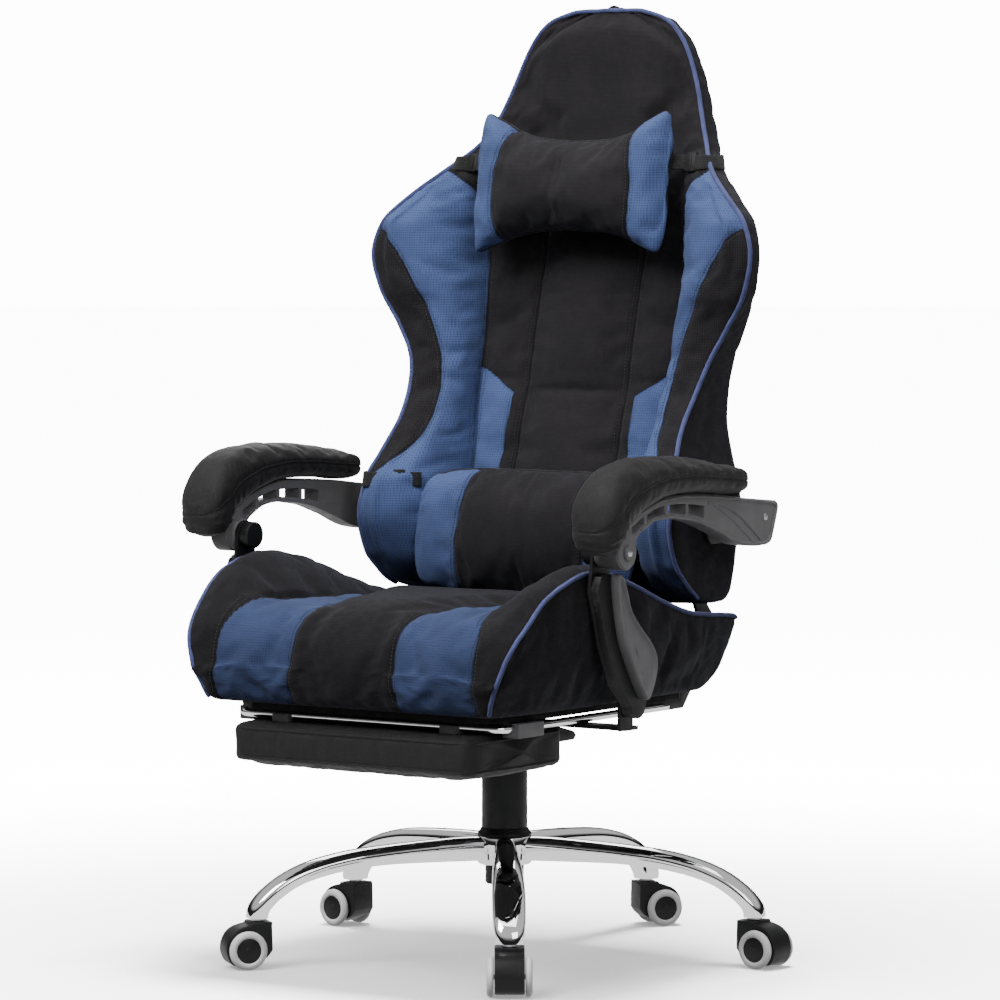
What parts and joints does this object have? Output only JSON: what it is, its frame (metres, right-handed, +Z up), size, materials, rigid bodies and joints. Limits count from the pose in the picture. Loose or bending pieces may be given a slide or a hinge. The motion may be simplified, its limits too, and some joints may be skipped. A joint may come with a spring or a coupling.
{
  "type": "gaming chair",
  "caption": "High-backed reclining desk chair on a swivelling five-star caster base, with linked padded armrests, a pull-out footrest and head and lumbar pillows.",
  "frame": {"origin": "on the floor, on the axis of the gas lift column", "axes": "+Z up, the sitter faces -Y, +X is the sitter's left"},
  "size_m": [0.7301, 0.7549, 1.23],
  "materials": {
    "chrome_base": "polished chrome plate",
    "chrome_bar": "polished chrome plate",
    "zinc_steel": "zinc plated, semi-bright",
    "black_steel": "black powder coat",
    "black_plastic": "fine moulded texture",
    "grey_plastic": "satin moulded",
    "caster_wheel": "white tread ring on a black disc",
    "black_leather": "fine grained synthetic leather",
    "upholstery_fabric": "black knit with blue mesh panels and blue piping",
    "black_webbing": "woven elastic",
    "seat_board": "black-stained plywood"
  },
  "bodies": {
    "base": {"star_base": "chrome_base", "gas_cylinder": "black_steel", "column_collar": "black_plastic", "column_sleeve_lower": "black_plastic"},
    "caster_1": {"caster_stem_1": "zinc_steel", "caster_hood_1": "black_plastic"},
    "caster_wheels_1": {"caster_wheels_1": "caster_wheel"},
    "caster_2": {"caster_stem_2": "zinc_steel", "caster_hood_2": "black_plastic"},
    "caster_wheels_2": {"caster_wheels_2": "caster_wheel"},
    "caster_3": {"caster_stem_3": "zinc_steel", "caster_hood_3": "black_plastic"},
    "caster_wheels_3": {"caster_wheels_3": "caster_wheel"},
    "caster_4": {"caster_stem_4": "zinc_steel", "caster_hood_4": "black_plastic"},
    "caster_wheels_4": {"caster_wheels_4": "caster_wheel"},
    "caster_5": {"caster_stem_5": "zinc_steel", "caster_hood_5": "black_plastic"},
    "caster_wheels_5": {"caster_wheels_5": "caster_wheel"},
    "column_lift": {"gas_piston_rod": "zinc_steel", "column_sleeve_upper": "black_plastic"},
    "mechanism": {"tilt_housing": "black_steel", "tilt_pivot_pin": "zinc_steel"},
    "tension_knob": {"tilt_tension_knob": "black_plastic"},
    "height_lever": {"height_lever": "zinc_steel"},
    "seat": {"seat_plate": "black_steel", "seat_pan": "seat_board", "seat_cushion": "upholstery_fabric", "footrest_guide_left": "grey_plastic", "footrest_guide_right": "grey_plastic", "seat_hinge_plate_left": "black_steel", "seat_hinge_plate_right": "black_steel", "arm_base_bracket_left": "black_steel", "arm_base_bracket_right": "black_steel"},
    "footrest_slide": {"footrest_bar": "chrome_bar"},
    "footrest_pad": {"footrest_pad": "black_leather", "footrest_hinge_clip_left": "grey_plastic", "footrest_hinge_clip_right": "grey_plastic"},
    "back": {"back_cushion": "upholstery_fabric", "back_frame": "black_steel", "back_panel": "upholstery_fabric", "back_hinge_plate_left": "black_steel", "back_hinge_plate_right": "black_steel", "armrest_rear_bracket_left": "black_steel", "armrest_rear_bracket_right": "black_steel"},
    "recline_lever": {"recline_lever": "black_steel"},
    "neck_pillow": {"neck_pillow": "upholstery_fabric", "neck_strap": "black_webbing"},
    "lumbar_pillow": {"lumbar_pillow": "upholstery_fabric", "lumbar_strap": "black_webbing"},
    "upright_left": {"arm_upright_left": "black_steel", "arm_upright_cover_left": "grey_plastic"},
    "armrest_left": {"armrest_frame_left": "grey_plastic", "armrest_pad_left": "black_leather", "armrest_pivot_bolt_left": "zinc_steel"},
    "upright_right": {"arm_upright_right": "black_steel", "arm_upright_cover_right": "grey_plastic"},
    "armrest_right": {"armrest_frame_right": "grey_plastic", "armrest_pad_right": "black_leather", "armrest_pivot_bolt_right": "zinc_steel"}
  },
  "joints": [
    {"name": "caster_1_swivel", "type": "hinge", "parent": "base", "child": "caster_1", "pos_m": [0.19691, -0.27102, 0.06], "axis": [0, 0, 1], "continuous": true},
    {"name": "caster_1_roll", "type": "hinge", "parent": "caster_1", "child": "caster_wheels_1", "pos_m": [0.20723, -0.28576, 0.025], "axis": [0.8192, 0.5736, 0], "continuous": true},
    {"name": "caster_2_swivel", "type": "hinge", "parent": "base", "child": "caster_2", "pos_m": [0.3186, 0.10352, 0.06], "axis": [0, 0, 1], "continuous": true},
    {"name": "caster_2_roll", "type": "hinge", "parent": "caster_2", "child": "caster_wheels_2", "pos_m": [0.33656, 0.10226, 0.025], "axis": [0.0698, 0.9976, 0], "continuous": true},
    {"name": "caster_3_swivel", "type": "hinge", "parent": "base", "child": "caster_3", "pos_m": [0, 0.335, 0.06], "axis": [0, 0, 1], "continuous": true},
    {"name": "caster_3_roll", "type": "hinge", "parent": "caster_3", "child": "caster_wheels_3", "pos_m": [0.01032, 0.34974, 0.025], "axis": [-0.8192, 0.5736, 0], "continuous": true},
    {"name": "caster_4_swivel", "type": "hinge", "parent": "base", "child": "caster_4", "pos_m": [-0.3186, 0.10352, 0.06], "axis": [0, 0, 1], "continuous": true},
    {"name": "caster_4_roll", "type": "hinge", "parent": "caster_4", "child": "caster_wheels_4", "pos_m": [-0.33647, 0.10571, 0.025], "axis": [-0.1219, -0.9925, 0], "continuous": true},
    {"name": "caster_5_swivel", "type": "hinge", "parent": "base", "child": "caster_5", "pos_m": [-0.19691, -0.27102, 0.06], "axis": [0, 0, 1], "continuous": true},
    {"name": "caster_5_roll", "type": "hinge", "parent": "caster_5", "child": "caster_wheels_5", "pos_m": [-0.20774, -0.2854, 0.025], "axis": [0.7986, -0.6018, 0], "continuous": true},
    {"name": "gas_lift", "type": "slide", "parent": "base", "child": "column_lift", "axis": [0, 0, 1], "range_m": [0, 0.08]},
    {"name": "seat_swivel", "type": "hinge", "parent": "column_lift", "child": "mechanism", "pos_m": [0, 0, 0.29], "axis": [0, 0, 1], "continuous": true},
    {"name": "rock", "type": "hinge", "parent": "mechanism", "child": "seat", "pos_m": [0, -0.05, 0.302], "axis": [-1, 0, 0], "range_deg": [0, 12], "stiffness_Nm_per_rad": 120, "springref_deg": -17.19},
    {"name": "tension_knob_turn", "type": "hinge", "parent": "mechanism", "child": "tension_knob", "pos_m": [0, -0.076, 0.279], "axis": [0, 0, 1], "continuous": true},
    {"name": "height_lever_lift", "type": "hinge", "parent": "mechanism", "child": "height_lever", "pos_m": [-0.068, 0, 0.29], "axis": [0, 1, 0], "range_deg": [0, 6], "stiffness_Nm_per_rad": 1.5, "springref_deg": -5.73},
    {"name": "footrest_slide", "type": "slide", "parent": "seat", "child": "footrest_slide", "axis": [0, -1, 0], "range_m": [0, 0.28]},
    {"name": "footrest_flip", "type": "hinge", "parent": "footrest_slide", "child": "footrest_pad", "pos_m": [0, -0.3, 0.331], "axis": [-1, 0, 0], "range_deg": [0, 180]},
    {"name": "recline", "type": "hinge", "parent": "seat", "child": "back", "pos_m": [0, 0.205, 0.415], "axis": [-1, 0, 0], "range_deg": [0, 50]},
    {"name": "recline_lever_lift", "type": "hinge", "parent": "seat", "child": "recline_lever", "pos_m": [-0.19, 0.205, 0.415], "axis": [-1, 0, 0], "range_deg": [0, 20], "stiffness_Nm_per_rad": 3, "springref_deg": -17.19},
    {"name": "neck_pillow_height", "type": "slide", "parent": "back", "child": "neck_pillow", "axis": [0, 0.1736, 0.9848], "range_m": [0, 0.05]},
    {"name": "lumbar_pillow_height", "type": "slide", "parent": "back", "child": "lumbar_pillow", "axis": [0, 0.2419, 0.9703], "range_m": [0, 0.06]},
    {"name": "upright_left_pivot", "type": "hinge", "parent": "seat", "child": "upright_left", "pos_m": [0.277, -0.125, 0.352], "axis": [-1, 0, 0], "range_deg": [0, 40.5]},
    {"name": "armrest_left_pivot", "type": "hinge", "parent": "upright_left", "child": "armrest_left", "pos_m": [0.3, -0.191, 0.548], "axis": [1, 0, 0], "range_deg": [0, 40.5]},
    {"name": "upright_right_pivot", "type": "hinge", "parent": "seat", "child": "upright_right", "pos_m": [-0.277, -0.125, 0.352], "axis": [-1, 0, 0], "range_deg": [0, 40.5]},
    {"name": "armrest_right_pivot", "type": "hinge", "parent": "upright_right", "child": "armrest_right", "pos_m": [-0.3, -0.191, 0.548], "axis": [1, 0, 0], "range_deg": [0, 40.5]}
  ],
  "couplings": [
    {"joint": "footrest_flip", "follows": "footrest_slide", "rad_per_m": 11.2},
    {"joint": "upright_left_pivot", "follows": "recline", "ratio": 0.7987},
    {"joint": "armrest_left_pivot", "follows": "recline", "ratio": 0.8028},
    {"joint": "upright_right_pivot", "follows": "recline", "ratio": 0.7987},
    {"joint": "armrest_right_pivot", "follows": "recline", "ratio": 0.8028}
  ]
}
